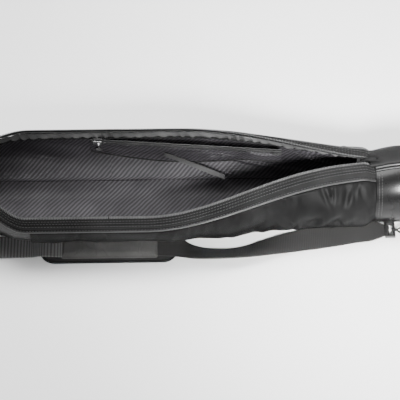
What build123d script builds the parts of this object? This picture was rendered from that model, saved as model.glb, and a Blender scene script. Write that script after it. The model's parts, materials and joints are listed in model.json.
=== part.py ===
from build123d import *
import math
import os

# Long padded carry bag lying open on its base, in millimetres.
# X runs along the bag, -Y is the side with the shoulder strap, +Z is up, and the floor is Z = 0.

# Overall sizes
half_length = 353.0
hinge_y = 48.0            # half the width of the base, at the fold lines
hinge_z = 22.0            # height of the fold lines
closed_top = 101.0        # height of the zipper line with the bag closed
rim_gap = 2.5             # from the middle plane to each fabric edge with the bag closed
wall_bulge = 20.0         # how far each side bows out from its chord
base_corner = 30.0        # radius of the base's rounded long edges
front_open = 62.0         # degrees that the front side leans out from closed
rear_open = 34.0          # degrees that the rear side leans back from closed

# Layers of the padded cloth
fabric = 1.2
foam = 4.5
lining = 0.8
layer_gap = 0.1
wall = fabric + foam + lining + 2 * layer_gap
body_gap = 0.5            # left free at each fold between cloth that moves apart

# Zipper bands along both edges of the mouth
band_width = 24.0
band_thick = 1.5
piping_r = 1.5
coil_r = 1.0
tape_thick = 0.8
tape_width = 8.0

# Stations along the bag
right_seam = 265.0        # the right end section starts here
right_fixed = 205.0       # from here to the right the body stays closed
left_fixed = -300.0       # from here to the left the body stays closed
left_seam = -216.0        # the left end section starts here on the base
mouth_full = (-200.0, 0.0)        # stretch where both sides open fully
front_ramp = (290.0, -50.0)       # the front side opens from none to full between these
rear_ramp = (300.0, -10.0)
left_ramp = (-343.0, -200.0)
fold_edges = [(0.0, 70.0), (70.0, 140.0), (140.0, 205.0), (-250.0, -200.0), (-300.0, -250.0)]

# Round end sections
seam_r = 46.5
end_r = 52.0
end_swell = 300.0         # where the end section reaches its full radius
end_flat = 332.0          # where the end panel's rounded edge starts
end_wall = 5.0
end_round = 14.0


def polar(centre, radius, degrees):
    a = math.radians(degrees)
    return centre[0] + radius * math.cos(a), centre[1] + radius * math.sin(a)


def smooth(start, end, x):
    t = min(1.0, max(0.0, (x - start) / (end - start)))
    return t * t * (3 - 2 * t)


# The closed front side is one arc from its fold line to the zipper line.
chord_y = hinge_y - rim_gap
chord_z = closed_top - hinge_z
chord = math.hypot(chord_y, chord_z)
side_r = (chord**2 / 4 + wall_bulge**2) / (2 * wall_bulge)
reach = (side_r - wall_bulge) / chord
arc_centre = (
    -(hinge_y + rim_gap) / 2 + chord_z * reach,
    (closed_top + hinge_z) / 2 - chord_y * reach,
)
arc_hinge = math.degrees(math.atan2(hinge_z - arc_centre[1], -hinge_y - arc_centre[0])) % 360
arc_rim = math.degrees(math.atan2(closed_top - arc_centre[1], -rim_gap - arc_centre[0]))
per_mm = math.degrees(1 / side_r)
arc_seam = arc_rim + band_width * per_mm


def along_x(sketch, x0, x1):
    return Pos(x0, 0, 0) * extrude(Plane.YZ * sketch, x1 - x0)


def rod(p, q, radius):
    p, q = Vector(p), Vector(q)
    axis = q - p
    return Plane(p, z_dir=axis) * Pos(0, 0, axis.length / 2) * Cylinder(radius, axis.length)


def block(x0, x1, y0, y1, z0, z1):
    return Pos((x0 + x1) / 2, (y0 + y1) / 2, (z0 + z1) / 2) * Box(x1 - x0, y1 - y0, z1 - z0)


def arc_strip(depth_out, depth_in, angle_from, angle_to, x0, x1):
    """A strip of the closed front side between two depths from its outer face."""
    outer = CenterArc(arc_centre, side_r - depth_out, angle_from, angle_to - angle_from)
    inner = CenterArc(arc_centre, side_r - depth_in, angle_from, angle_to - angle_from)
    ends = [Line(outer @ 0, inner @ 0), Line(outer @ 1, inner @ 1)]
    return along_x(make_face([outer, inner] + ends), x0, x1)


def arc_rod(depth, angle, radius, x0, x1):
    y, z = polar(arc_centre, side_r - depth, angle)
    return rod((x0, y, z), (x1, y, z), radius)


def opened(shape, side, share):
    """Turns a closed front-side shape to its resting angle, or its mirror image for the rear."""
    fold = Axis((0, -hinge_y, hinge_z), (1, 0, 0))
    turn = front_open if side == "front" else rear_open
    turned = shape.rotate(fold, turn * share)
    return turned if side == "front" else mirror(turned, about=Plane.XZ)


def tray(depth_out, depth_in, x0, x1):
    """The base with its rounded long edges, between two depths from the outer face."""
    height = 4 * base_corner

    def outline(depth):
        shape = RectangleRounded(2 * (hinge_y - depth), height - 2 * depth, base_corner - depth)
        return Pos(0, height / 2) * shape

    top = hinge_z - body_gap
    band = outline(depth_out) - outline(depth_in)
    return along_x(band & (Pos(0, top / 2) * Rectangle(4 * hinge_y, top)), x0, x1)


def tube(stations, grow):
    """A loft through round sections (x, radius y, radius z, centre y), grown outwards by grow."""
    faces = [
        Plane.YZ.offset(x) * Pos(y, rz) * Ellipse(ry + grow, rz + grow)
        for x, ry, rz, y in stations
    ]
    return loft(faces, ruled=True)


def tube_shell(stations, thickness):
    return tube(stations, 0) - tube(stations, -thickness)


nodes = {}


# Base
x_left, x_right = left_seam + 0.2, right_fixed - 0.3
foam_in = fabric + layer_gap
lining_in = foam_in + foam + layer_gap
nodes["base_panel"] = tray(0, fabric, x_left, x_right)
nodes["base_foam"] = tray(foam_in, foam_in + foam, left_fixed + 0.3, x_right)
nodes["base_lining"] = tray(lining_in, lining_in + lining, left_fixed + 0.3, x_right)
nodes["left_lower_section"] = tray(0, fabric, left_fixed + 0.3, left_seam - 0.2)

# Right side of the mouth: the closed gusset, the end section and its panel
gusset = [
    (right_fixed, 50, closed_top / 2, 0),
    (right_seam - 11, 49.5, closed_top / 2, 0),
    (right_seam - 0.2, seam_r, seam_r, 0),
]
section = [(right_seam + 0.2, seam_r, seam_r, 0), (end_swell, end_r, end_r, 0), (end_flat, end_r, end_r, 0)]
slot = block(right_fixed - 1, right_seam - 9.5, -5.5, 5.5, closed_top - 25, closed_top + 20)
nodes["right_gusset"] = tube_shell(gusset, wall) - slot
nodes["right_end_section"] = tube_shell(section, end_wall)
left_section = [(-end_flat, end_r, end_r, 0), (left_fixed - 0.3, 50.5, 50.5, 0)]
nodes["left_end_section"] = tube_shell(left_section, end_wall)


def end_panel(hollow=True):
    depth = half_length - end_flat - 0.2
    plug = Cylinder(end_r, depth)
    plug = fillet(plug.faces().sort_by(Axis.Z)[-1].edges(), end_round)
    if hollow:
        plug -= Pos(0, 0, -end_wall) * Cylinder(end_r - end_wall - end_round / 2, depth)
    return Pos(half_length - depth / 2, 0, end_r) * Rot(0, 90, 0) * plug


nodes["right_end_panel"] = end_panel()
nodes["left_end_panel"] = mirror(end_panel(), about=Plane.YZ)
ring = Pos(end_flat, 0, end_r) * Rot(0, 90, 0) * Torus(end_r + piping_r + 0.1, piping_r)
top_half = block(0, half_length, -2 * end_r, 2 * end_r, 4.0, 3 * end_r)
ring = ring & top_half
nodes["end_piping"] = Compound([ring.solid(), mirror(ring, about=Plane.YZ).solid()])

# Smooth panel over the top of the right end, with a piping along each long edge
panel_y = (-7.0, 36.0)
panel_thick = 2.2
cover = tube(section, panel_thick + 0.2) - tube(section, 0.2)
nodes["end_top_panel"] = cover & block(right_seam + 1, end_flat - 2.5, *panel_y, 64.0, 120.0)


def edge_piping(y):
    def height(radius):
        return radius + math.sqrt((radius + piping_r + 0.5) ** 2 - y**2)

    a = (right_seam + 1.5, y, height(seam_r))
    b = (end_swell, y, height(end_r))
    c = (end_flat - 3, y, height(end_r))
    return rod(a, b, piping_r) + Pos(*b) * Sphere(piping_r) + rod(b, c, piping_r)


nodes["end_top_piping"] = Compound([edge_piping(panel_y[0] - 2.6).solid(), edge_piping(panel_y[1] + 3.2).solid()])

# The two sides of the mouth, where they open fully
start = arc_hinge - body_gap * per_mm
for side in ("front", "rear"):
    x0, x1 = mouth_full[0] + 0.3, mouth_full[1] - 0.3
    layers = {
        "panel": arc_strip(0, fabric, start, arc_seam + 0.1 * per_mm, x0, x1),
        "foam": arc_strip(foam_in, foam_in + foam, start, arc_seam + 0.1 * per_mm, x0, x1),
        "lining": arc_strip(lining_in, lining_in + lining, start, arc_seam + 0.1 * per_mm, x0, x1),
        "zipper_band": arc_strip(0, band_thick, arc_seam, arc_rim, x0, x1),
        "piping": arc_rod(-piping_r - 0.1, arc_seam, piping_r, x0, x1),
    }
    tape = arc_strip(band_thick + 0.1, band_thick + 0.1 + tape_thick, arc_rim + tape_width * per_mm, arc_rim, x0, x1)
    coil = arc_rod(band_thick / 2, arc_rim - (coil_r + 0.2) * per_mm, coil_r, x0, x1)
    layers["zipper_tape"] = Compound([tape.solid(), coil.solid()])
    for name, shape in layers.items():
        nodes[f"{side}_{name}"] = opened(shape, side, 1.0)

# Where the mouth narrows, each side is divided into lengths that fold by their own share
for side, ramp in (("front", front_ramp), ("rear", rear_ramp)):
    for number, (x0, x1) in enumerate(fold_edges, start=1):
        start_x, end_x = ramp if x0 >= 0 else left_ramp
        share = smooth(start_x, end_x, (x0 + x1) / 2)
        padded = arc_strip(0, wall, start, arc_seam, x0 + 0.3, x1 - 0.3)
        edge = arc_strip(0, band_thick, arc_seam, arc_rim, x0 + 0.3, x1 - 0.3)
        nodes[f"{side}_fold_{number}"] = opened(padded + edge, side, share)

# Inner pocket on the rear side, its straight zipper, end tab and the tape sewn beside it
pocket_x = (-128.0, 138.0)
pocket_top = 22.0         # from the mouth's edge down to the pocket's zipper
pocket_deep = 46.0
pocket_lean = 25.0        # the pocket's right end stands this far off the fully open side
zip_half = 8.0


def rear_point(down, off):
    """A point (y, z) on the open rear side, down from the mouth's edge and off its inner face."""
    y, z = polar(arc_centre, side_r - wall - off, arc_rim + down * per_mm)
    turn = math.radians(rear_open)
    dy, dz = y + hinge_y, z - hinge_z
    return hinge_y - (dy * math.cos(turn) - dz * math.sin(turn)), (
        hinge_z + dy * math.sin(turn) + dz * math.cos(turn)
    )


def pocket_bar(down_from, down_to, off, thick, x0, x1):
    """A flat strip that stands off the rear side more and more towards the right."""
    span = pocket_x[1] - pocket_x[0]
    faces = []
    for x in (x0, x1):
        lean = pocket_lean * (x - pocket_x[0]) / span
        a, b = rear_point(down_from, off), rear_point(down_to, off)
        c, d = rear_point(down_to, off + thick), rear_point(down_from, off + thick)
        shifted = [(x, y - lean, z) for y, z in (a, b, c, d)]
        faces.append(make_face(Polyline(*shifted, close=True)))
    return loft(faces, ruled=True)


low_off = 5.0             # how far the zipper stands off the side
panel_off = 2.6           # the pocket's cloth lies closer, so that the pull hangs free of it
nodes["pocket_panel"] = pocket_bar(
    pocket_top + zip_half + 1, pocket_top + pocket_deep, panel_off, 1.2, *pocket_x
)
upper = pocket_bar(pocket_top - zip_half, pocket_top - 1.6, low_off, 1.2, *pocket_x)
lower = pocket_bar(pocket_top + 1.6, pocket_top + zip_half, low_off, 1.2, *pocket_x)
nodes["pocket_zipper_tapes"] = Compound([upper.solid(), lower.solid()])
nodes["pocket_end_tab"] = pocket_bar(
    pocket_top - 9, pocket_top + 9, low_off + 1.3, 1.2, pocket_x[1] - 12, pocket_x[1] - 1
)

# Sliders and their pulls
main_x = 247.0
main_plate = (14.0, 8.6, 1.5)
above = closed_top + 0.9
below = closed_top - 5.2


def main_slider():
    length, width, thick = main_plate
    top = block(main_x - length / 2, main_x + length / 2, -width / 2, width / 2, above, above + thick)
    low = block(main_x - length / 2, main_x + length / 2, -width / 2, width / 2, below, below + thick)
    neck = block(main_x - length / 2, main_x - length / 2 + 3, -0.7, 0.7, below + thick, above)
    loop = Pos(main_x, 0, above + thick) * Rot(90, 0, 0) * (Cylinder(3.2, 2.6) - Cylinder(2.0, 3))
    loop = loop & block(main_x - 5, main_x + 5, -3, 3, above + thick, above + 10)
    return top + neck + loop + low


nodes["main_zip_slider"] = main_slider()
pull_z = above + main_plate[2] + 1.0


def pull(width, length, thick):
    """A pull lying along +X with its cross pin on the origin's Y axis."""
    tab = block(5.0, length, -width / 2, width / 2, -thick / 2, thick / 2)
    arms = [block(-0.6, 5.5, s * 2.6 - 0.7, s * 2.6 + 0.7, -thick / 2, thick / 2) for s in (-1, 1)]
    hole = Pos(length - 3.5, 0, 0) * Cylinder(1.4, 4)
    return rod((0, -3.2, 0), (0, 3.2, 0), 0.7) + arms[0] + arms[1] + (tab - hole)


nodes["main_zip_pull"] = Pos(main_x, 0, pull_z) * pull(6.0, 24.0, 1.2)

# The pocket's slider runs along the slanted zipper, and its pull hangs from a post
zip_along = Vector(pocket_x[1] - pocket_x[0], -pocket_lean, 0).normalized()
y0, z0 = rear_point(pocket_top, low_off)
y1, z1 = rear_point(pocket_top + 10, low_off)
zip_down = Vector(0, y1 - y0, z1 - z0).normalized()
zip_out = zip_down.cross(zip_along)
slider_x = pocket_x[0] + 10
slider_y = y0 - pocket_lean * (slider_x - pocket_x[0]) / (pocket_x[1] - pocket_x[0])
on_zip = Plane((slider_x, slider_y, z0), x_dir=zip_along, z_dir=zip_out)
post_r = 1.2
tape_top = 1.2 + 0.7
plate = block(-6, 6, -4.0, 4.0, tape_top, tape_top + 1.3)
under = block(-6, 6, -4.0, 4.0, -2.0, -0.7)
neck = block(-6, -3, -0.9, 0.9, -0.7, tape_top)
post = Pos(2, 0, tape_top + 1.3 + 1.5) * Cylinder(post_r, 3.0) + Pos(2, 0, tape_top + 4.7) * Cylinder(2.2, 0.8)
nodes["pocket_slider"] = on_zip * (plate + under + neck + post)
hang = -1 if on_zip.y_dir.Z > 0 else 1
eye = Cylinder(3.2, 1.4) - Cylinder(post_r + 0.08, 3)
stem = block(-1.3, 1.3, min(hang * 2.6, hang * 17), max(hang * 2.6, hang * 17), -0.7, 0.7)
bar = block(-4.2, 4.2, min(hang * 14, hang * 18), max(hang * 14, hang * 18), -0.9, 0.9)
nodes["pocket_pull"] = on_zip * Pos(2, 0, tape_top + 3.2) * (eye + stem + bar)

# Flat tape sewn inside the rear side, running down across the pocket
tape_from, tape_to = (-25.0, 42.0), (59.0, 84.0)
faces = []
for x, down in (tape_from, tape_to):
    lean = pocket_lean * (x - pocket_x[0]) / (pocket_x[1] - pocket_x[0])
    corners = [(down, 6.8), (down + 10, 6.8), (down + 10, 7.8), (down, 7.8)]
    points = [rear_point(d, off + 2.0) for d, off in corners]
    faces.append(make_face(Polyline(*[(x, y - lean, z) for y, z in points], close=True)))
nodes["inner_tape"] = loft(faces, ruled=True)

# Shoulder strap lying on the floor: its pad and sleeve, then a ribbon to each end
strap_width = 38.0
strap_thick = 1.8
pad_x = (-196.0, -11.0)
pad_y = -67.0
pad_size = (pad_x[1] - pad_x[0], 50.0, 5.0)
sleeve_x = (-169.0, -36.0)
sleeve_size = (sleeve_x[1] - sleeve_x[0], 43.0, 3.6)
pad = extrude(RectangleRounded(pad_size[0], pad_size[1], 18), pad_size[2])
nodes["shoulder_pad"] = Pos(sum(pad_x) / 2, pad_y, 0) * pad
sleeve = extrude(RectangleRounded(sleeve_size[0], sleeve_size[1], 2), sleeve_size[2])
nodes["pad_sleeve"] = Pos(sum(sleeve_x) / 2, pad_y, pad_size[2] + 0.1) * sleeve


def ribbon(stations):
    """A flat ribbon through (x, centre y, centre z, width, roll in degrees) stations."""
    faces = []
    for x, y, z, width, roll in stations:
        faces.append(Plane.YZ.offset(x) * Pos(y, z) * Rot(0, 0, roll) * Rectangle(width, strap_thick))
    return loft(faces, ruled=True)


on_pad = pad_size[2] + 0.2 + strap_thick / 2
on_floor = 0.1 + strap_thick / 2
nodes["strap_right"] = ribbon([
    (sleeve_x[1] + 0.3, pad_y, on_pad, strap_width, 0),
    (-9, -70, on_pad + 1.0, strap_width, -2),
    (14, -86, 10.5, strap_width, -28),
    (80, -84, 10.5, strap_width, -28),
    (122, -70, 5.5, strap_width, -12),
    (164, -57, on_floor, strap_width, 0),
    (207, -50, on_floor, strap_width, 0),
    (225, -45, on_floor, strap_width, 0),
    (256, -40, on_floor + 0.2, 36, 0),
    (280.6, -44, 6.8, 18, 0),
])
nodes["strap_left"] = ribbon([
    (-302.6, -48, 6.8, 18, 0),
    (-298, -51, 6.0, 22, 0),
    (-293, -56, 4.0, 32, 0),
    (-288, -61, 2.8, strap_width, 0),
    (-284, -63, 2.6, strap_width, 0),
    (-204, -63, 2.6, strap_width, 0),
    (pad_x[0] - 4, -67, on_pad, strap_width, 0),
    (sleeve_x[0] - 0.3, pad_y, on_pad, strap_width, 0),
])

# Sliding buckle round the left part of the strap
buckle_x = (-283.0, -258.0)
buckle_slot = (strap_width + 2.0, 2.6)
middle_x = sum(buckle_x) / 2
frame = block(*buckle_x, -63 - 24, -63 + 24, 0.1, 5.1)
slot_y = (-63 - buckle_slot[0] / 2 - 2.2, -63 + buckle_slot[0] / 2 + 2.2)
frame -= block(buckle_x[0] - 1, buckle_x[1] + 1, *slot_y, 1.3, 3.9)
for x0, x1 in ((buckle_x[0] + 4, middle_x - 2), (middle_x + 2, buckle_x[1] - 4)):
    frame -= block(x0, x1, -63 - 19, -63 + 19, 3.5, 6)
nodes["strap_buckle"] = frame

# Ring and snap hook at each end of the strap
ring_y = -44.0
ring_z = 6.6
wire_r = 1.6
bar_x = 327.5
ring_half = 11.5
arc_x = bar_x - 10.5
tab_hole = wire_r + 0.08
left_shift = (22.0, 4.0)  # the left ring sits this much further out, along and across


def strap_ring():
    arms = [
        rod((bar_x, ring_y + s * ring_half, ring_z), (arc_x, ring_y + s * ring_half, ring_z), wire_r)
        for s in (-1, 1)
    ]
    cross = rod((bar_x, ring_y - ring_half, ring_z), (bar_x, ring_y + ring_half, ring_z), wire_r)
    knobs = [Pos(bar_x, ring_y + s * ring_half, ring_z) * Sphere(wire_r) for s in (-1, 1)]
    bend = Pos(arc_x, ring_y, ring_z) * Torus(ring_half, wire_r)
    bend = bend & block(arc_x - 2 * ring_half, arc_x, ring_y - 20, ring_y + 20, 0, 20)
    return arms[0] + arms[1] + cross + knobs[0] + knobs[1] + bend


def ring_tab():
    tab = block(bar_x - 3.0, bar_x + 3.0, ring_y - 8, ring_y + 8, ring_z - 3.2, 34)
    return tab - rod((bar_x, ring_y - 20, ring_z), (bar_x, ring_y + 20, ring_z), tab_hole)


hook_x, hook_z = 303.6, 6.8
hook_r, hook_wire = 5.0, 1.3
gate_from, gate_to = 97.0, 163.0


def snap_hook():
    loop = Pos(hook_x, ring_y, hook_z) * Rot(90, 0, 0) * Torus(hook_r, hook_wire)
    mouth = Pos(hook_x, ring_y, hook_z) * Rot(0, -(gate_from + gate_to) / 2, 0) * block(0, 12, -3, 3, -3.0, 3.0)
    body = rod((hook_x - hook_r, ring_y, hook_z), (295.3, ring_y, hook_z), 2.0)
    neck = rod((295.3, ring_y, hook_z), (291.7, ring_y, hook_z), 1.3)
    head = rod((291.7, ring_y, hook_z), (290.5, ring_y, hook_z), 2.2)
    return (loop - mouth) + body + neck + head


def gate():
    a = polar((hook_x, hook_z), hook_r, gate_from + 1)
    b = polar((hook_x, hook_z), hook_r, gate_to - 1)
    return rod((a[0], ring_y, a[1]), (b[0], ring_y, b[1]), 0.8)


def hook_eye():
    frame = block(281, 295, ring_y - 13, ring_y + 13, hook_z - 2.2, hook_z + 2.2)
    frame -= block(284, 292, ring_y - 10, ring_y + 10, -5, 20)
    return frame - rod((290, ring_y, hook_z), (296, ring_y, hook_z), 1.3 + 0.08)


pieces = {
    "strap_ring": strap_ring(),
    "snap_hook": snap_hook(),
    "hook_eye": hook_eye(),
    "hook_gate": gate(),
}


def to_left(shape):
    """The same piece at the left end, a little further out."""
    return Pos(-left_shift[0], -left_shift[1], 0) * mirror(shape, about=Plane.YZ)


right_tab = ring_tab() - tube(section, 0)
left_tab = to_left(ring_tab()) - mirror(end_panel(hollow=False), about=Plane.YZ)
lowest = [tab.solids().sort_by(Axis.Z)[0] for tab in (right_tab, left_tab)]
nodes["ring_tabs"] = Compound(lowest)
for name, shape in pieces.items():
    nodes[f"{name}_right"] = shape
    nodes[f"{name}_left"] = to_left(shape)

# End stops sewn over both ends of the main zipper
stop = block(right_seam - 9, right_seam - 2, -6, 6, 0, 120)
stop = stop & (tube(gusset, 1.4) - tube(gusset, 0.15))
nodes["zipper_end_stops"] = stop.solids().sort_by(Axis.Z)[-1]

os.makedirs("parts", exist_ok=True)
for name, shape in nodes.items():
    export_step(shape, f"parts/{name}.step")
print(len(nodes), "nodes")
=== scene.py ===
import json
import math
import random

import bmesh
import bpy
from mathutils import Matrix, Vector, noise


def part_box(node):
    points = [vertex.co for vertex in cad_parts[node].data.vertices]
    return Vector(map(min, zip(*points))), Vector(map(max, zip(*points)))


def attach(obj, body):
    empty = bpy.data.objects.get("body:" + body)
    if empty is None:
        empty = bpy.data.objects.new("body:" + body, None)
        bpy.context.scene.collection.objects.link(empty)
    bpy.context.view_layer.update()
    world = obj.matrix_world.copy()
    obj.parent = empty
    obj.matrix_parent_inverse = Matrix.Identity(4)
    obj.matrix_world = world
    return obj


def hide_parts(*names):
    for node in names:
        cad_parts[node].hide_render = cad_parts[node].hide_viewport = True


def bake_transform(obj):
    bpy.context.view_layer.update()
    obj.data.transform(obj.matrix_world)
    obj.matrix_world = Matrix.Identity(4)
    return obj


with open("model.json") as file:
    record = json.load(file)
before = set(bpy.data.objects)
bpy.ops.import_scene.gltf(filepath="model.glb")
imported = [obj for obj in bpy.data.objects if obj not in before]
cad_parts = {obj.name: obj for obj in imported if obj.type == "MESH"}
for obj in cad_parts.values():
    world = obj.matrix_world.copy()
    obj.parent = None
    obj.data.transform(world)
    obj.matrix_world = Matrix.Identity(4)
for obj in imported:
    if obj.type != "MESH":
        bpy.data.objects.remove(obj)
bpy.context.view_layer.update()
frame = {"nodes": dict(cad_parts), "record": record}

# ---------------------------------------------------------------- sizes taken from the frame
joints = {j["name"]: j for j in frame["record"]["behaviour"]["joints"]}
root = "body"
fold_y = joints["rear_side_fold"]["pos_m"][1]
fold_z = joints["rear_side_fold"]["pos_m"][2]
rear_open = math.radians(joints["rear_side_fold"]["range_deg"][1])
seam_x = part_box("right_end_section")[0].x
end_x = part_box("right_end_panel")[1].x
end_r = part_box("right_end_panel")[1].z / 2

# ---------------------------------------------------------------- sizes chosen for the cloth
front_open = math.radians(62.0)
# The closed section: height of the rims, half the gap between them, and how far a side bulges
mouth_top = 0.101
rim_gap = 0.0025
bulge = 0.020
base_corner = 0.030
floor_gap = 0.0003
# Walls: padded sides, how far inside them the lining lies, and the padded base
cloth_wall = 0.0062
lining_off = cloth_wall + 0.0006
base_wall = 0.0060
# Right end section: its radius at the seam, where it reaches full size, and where its welt is
seam_r = 0.0465
swell_x = 0.300
flat_x = 0.332
# Along the bag: left end of the cloth, right ends of the coated cloth, and where the sides halve
left_cloth_x = -0.343
coated_x = -0.208
base_coated_x = -0.216
middle_x = -0.100
# Each blend, from still sewn shut to fully open, and where the section turns round at the ends
right_ramp = {"front": (0.290, -0.050), "rear": (0.300, -0.010)}
left_ramp = (-0.343, -0.213)
right_round_x = 0.250
left_round = (-0.300, -0.334)
# Up a side, as a share from its fold at 0 to its rim at 1: the band's edge and the puckered strip
band_width = 0.024
rim_s = 0.995
strip_low, strip_high = 0.800, 0.935
panel_rows = 44


def smooth(a, b, x):
    t = min(1.0, max(0.0, (x - a) / (b - a)))
    return t * t * (3 - 2 * t)


def mix(a, b, t):
    return a + (b - a) * t


# ---------------------------------------------------------------- section of the bag
chord_y, chord_z = fold_y - rim_gap, mouth_top - fold_z
chord = math.hypot(chord_y, chord_z)
side_r = (chord**2 / 4 + bulge**2) / (2 * bulge)
reach = (side_r - bulge) / chord
arc_y = -(fold_y + rim_gap) / 2 + chord_z * reach
arc_z = (mouth_top + fold_z) / 2 - chord_y * reach
fold_angle = math.atan2(fold_z - arc_z, -fold_y - arc_y) % (2 * math.pi)
rim_angle = math.atan2(mouth_top - arc_z, -rim_gap - arc_y)
side_length = side_r * (fold_angle - rim_angle)
seam_s = 1 - band_width / side_length


def share(side, x):
    """How far the side opens at x, from 0 closed to 1, as the two blends say."""
    return smooth(*right_ramp[side], x) * smooth(*left_ramp, x)


def round_end(x):
    """How far the section has become a circle at x, and that circle's radius."""
    if x > 0:
        return smooth(right_round_x, seam_x, x), seam_r
    return smooth(*left_round, x), end_r


def closed_point(x, s, out):
    """A point (y, z) of the closed front side, from its fold at s = 0 to its rim at s = 1."""
    a = mix(fold_angle, rim_angle, s)
    arc = Vector((arc_y + (side_r + out) * math.cos(a), arc_z + (side_r + out) * math.sin(a)))
    k, r = round_end(x)
    if k == 0:
        return arc
    low = math.pi + math.asin((r - fold_z) / r)
    top = math.pi / 2 + math.asin(rim_gap / r)
    c = mix(low, top, s)
    return arc.lerp(Vector(((r + out) * math.cos(c), r + (r + out) * math.sin(c))), k)


def side_point(side, x, s, out=0.0):
    """A point of a side as it lies open, out beyond its outer face."""
    return opened(side, x, *closed_point(x, s, out))


def opened(side, x, y, z):
    """Turns a point of the closed front side about the fold to where that side lies open."""
    turn = share(side, x) * (front_open if side == "front" else rear_open)
    dy, dz = y + fold_y, z - fold_z
    y = -fold_y + dy * math.cos(turn) - dz * math.sin(turn)
    z = fold_z + dy * math.sin(turn) + dz * math.cos(turn)
    return Vector((x, y if side == "front" else -y, z))


def base_point(x, t, out=0.0):
    """A point of the base from the front fold at t = 0, under the bag, to the rear fold."""
    half_flat = fold_y - base_corner
    edge = math.acos((base_corner - fold_z + floor_gap) / base_corner)
    corner = base_corner * edge
    half = corner + half_flat
    d = (2 * t - 1) * half
    if abs(d) < half_flat:
        p, n = Vector((d, 0.0)), Vector((0.0, -1.0))
    else:
        a = (abs(d) - half_flat) / base_corner
        n = Vector((math.copysign(math.sin(a), d), -math.cos(a)))
        p = Vector((math.copysign(half_flat, d), base_corner)) + n * base_corner
    p = p + n * out
    k, r = round_end(x)
    if k:
        low = math.pi + math.asin((r - fold_z) / r)
        a = mix(low, 3 * math.pi - low, t)
        p = p.lerp(Vector(((r + out) * math.cos(a), r + (r + out) * math.sin(a))), k)
    return Vector((x, p.x, max(p.y, floor_gap if out >= 0 else 0.0)))


def noise_at(x, y, seed):
    return noise.noise(Vector((x, y, seed * 7.31)))


def crease(x, y, seed, width):
    """A narrow valley where the noise passes through zero: 1 in the valley, 0 away from it."""
    return math.exp(-((noise_at(x, y, seed) / width) ** 2))


# ---------------------------------------------------------------- mesh helpers
def deselect():
    for o in bpy.context.selected_objects:
        o.select_set(False)


def activate(obj):
    deselect()
    obj.select_set(True)
    bpy.context.view_layer.objects.active = obj


def apply_modifiers(obj):
    activate(obj)
    for m in list(obj.modifiers):
        bpy.ops.object.modifier_apply(modifier=m.name)


def face_outwards(obj, inside):
    """Turns the faces of an open sheet away from the points that inside(centre) gives."""
    total = sum((p.center - inside(p.center)).dot(p.normal) * p.area for p in obj.data.polygons)
    if total < 0:
        obj.data.flip_normals()


def cloth(name, place, counts, size, inside, thick):
    """A sheet of cloth from a grid: place(u, v) puts each point, and size is in metres."""
    deselect()
    bpy.ops.mesh.primitive_grid_add(x_subdivisions=counts[0], y_subdivisions=counts[1], size=2)
    obj = bpy.context.object
    obj.name = obj.data.name = name
    uv = obj.data.uv_layers.active
    for loop in uv.data:
        loop.uv = (loop.uv.x * size[0], loop.uv.y * size[1])
    for v in obj.data.vertices:
        v.co = place((v.co.x + 1) / 2, (v.co.y + 1) / 2)
    obj.data.update()
    face_outwards(obj, inside)
    if thick:
        solid = obj.modifiers.new("wall", "SOLIDIFY")
        solid.thickness = thick
        solid.offset = -1
        solid.use_even_offset = True
        apply_modifiers(obj)
    activate(obj)
    bpy.ops.object.shade_smooth_by_angle(angle=math.radians(55))
    return obj


def object_of(name, form):
    """Makes a free bmesh into a smooth-shaded object of the scene."""
    mesh = bpy.data.meshes.new(name)
    form.to_mesh(mesh)
    form.free()
    obj = bpy.data.objects.new(name, mesh)
    bpy.context.collection.objects.link(obj)
    activate(obj)
    bpy.ops.object.shade_smooth_by_angle(angle=math.radians(60))
    return obj


def cord_bead(name, points, radius):
    """A round bead of cord through points, closed at both ends."""
    sides = 10
    form = bmesh.new()
    rings = []
    for i, p in enumerate(points):
        ahead = points[min(i + 1, len(points) - 1)] - points[max(i - 1, 0)]
        across = Vector((0, 0, 1)).cross(ahead)
        across = across.normalized() if across.length > 1e-9 else Vector((0, 1, 0))
        up = ahead.cross(across).normalized()
        rings.append([
            form.verts.new(
                p + across * radius * math.cos(2 * math.pi * k / sides)
                + up * radius * math.sin(2 * math.pi * k / sides)
            )
            for k in range(sides)
        ])
    for a, b in zip(rings, rings[1:]):
        for k in range(sides):
            form.faces.new((a[k], a[(k + 1) % sides], b[(k + 1) % sides], b[k]))
    form.faces.new(reversed(rings[0]))
    form.faces.new(rings[-1])
    bmesh.ops.recalc_face_normals(form, faces=form.faces)
    return object_of(name, form)


def many(name, form_one, places):
    """One mesh of a small form repeated at each 4x4 place."""
    whole = bmesh.new()
    for m in places:
        start = len(whole.verts)
        form_one(whole)
        whole.verts.ensure_lookup_table()
        for v in whole.verts[start:]:
            v.co = m @ v.co
    return object_of(name, whole)


def capsule(length, radius, lift=1.0):
    """Makes a short rounded stitch or tooth along X."""
    sides = 6

    def form(whole):
        rings = []
        for x, r in ((-0.5, 0.35), (-0.38, 0.85), (0.38, 0.85), (0.5, 0.35)):
            rings.append([
                whole.verts.new((
                    x * length,
                    r * radius * math.cos(2 * math.pi * k / sides),
                    r * radius * lift * math.sin(2 * math.pi * k / sides),
                ))
                for k in range(sides)
            ])
        for a, b in zip(rings, rings[1:]):
            for k in range(sides):
                whole.faces.new((a[k], b[k], b[(k + 1) % sides], a[(k + 1) % sides]))
        whole.faces.new(rings[0])
        whole.faces.new(reversed(rings[-1]))

    return form


def frame_at(p, along, up):
    """A 4x4 place at p with X along and Z near up."""
    x = along.normalized()
    y = up.cross(x).normalized()
    z = x.cross(y)
    m = Matrix((x, y, z)).transposed().to_4x4()
    m.translation = p
    return m


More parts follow.
